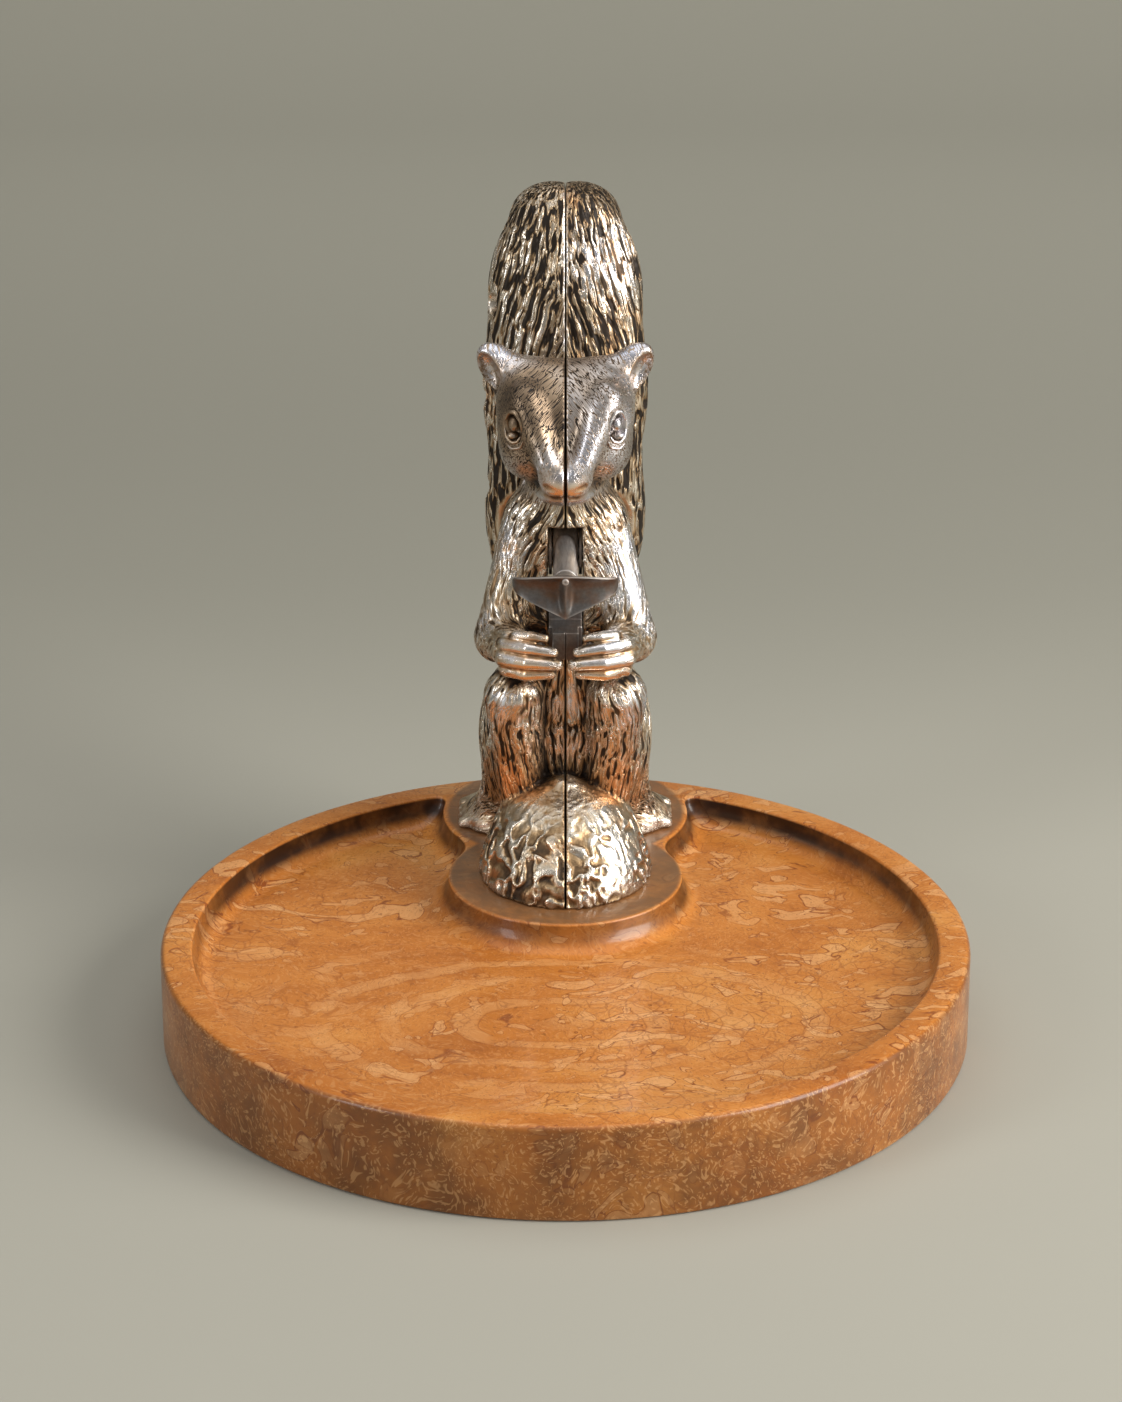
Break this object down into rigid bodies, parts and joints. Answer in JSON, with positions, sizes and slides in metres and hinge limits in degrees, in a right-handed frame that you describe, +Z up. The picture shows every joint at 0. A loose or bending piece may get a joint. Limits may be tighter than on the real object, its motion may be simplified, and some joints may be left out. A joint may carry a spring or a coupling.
{
  "type": "lever nutcracker press",
  "caption": "Lever nutcracker cast as a seated squirrel on a round wooden tray; the tail is the handle that works a keeled jaw above the paws.",
  "frame": {"origin": "centre of the tray's underside", "axes": "+Z up, -Y to the front, where the squirrel faces, +X to the squirrel's left hand side as seen from the front"},
  "size_m": [0.254, 0.254, 0.2447],
  "materials": {
    "wood": "satin lacquer over mottled burl",
    "plated": "worn silvery plate over bronze with a dark patina",
    "iron": "dark satin",
    "steel": "dull machined"
  },
  "bodies": {
    "stand": {"tray": "wood", "body_left": "plated", "body_right": "plated", "anvil": "iron", "anvil_pin": "steel", "pivot_pin": "steel", "pivot_spacer_left": "steel", "pivot_spacer_right": "steel", "tie_screw_neck": "steel", "tie_screw_belly": "steel", "tie_screw_rump": "steel", "base_screw_front_left": "steel", "base_screw_front_right": "steel", "base_screw_rear_left": "steel", "base_screw_rear_right": "steel", "base_washer_front_left": "steel", "base_washer_front_right": "steel", "base_washer_rear_left": "steel", "base_washer_rear_right": "steel"},
    "tail_lever": {"lever_core": "iron", "jaw": "iron", "jaw_rivet": "steel", "tail_left": "plated", "tail_right": "plated", "tail_screw_low": "steel", "tail_screw_middle": "steel", "tail_screw_top": "steel"}
  },
  "joints": [
    {"name": "tail_hinge", "type": "hinge", "parent": "stand", "child": "tail_lever", "pos_m": [0, 0.07, 0.13402], "axis": [1, 0, 0], "range_deg": [-21, 0]}
  ]
}
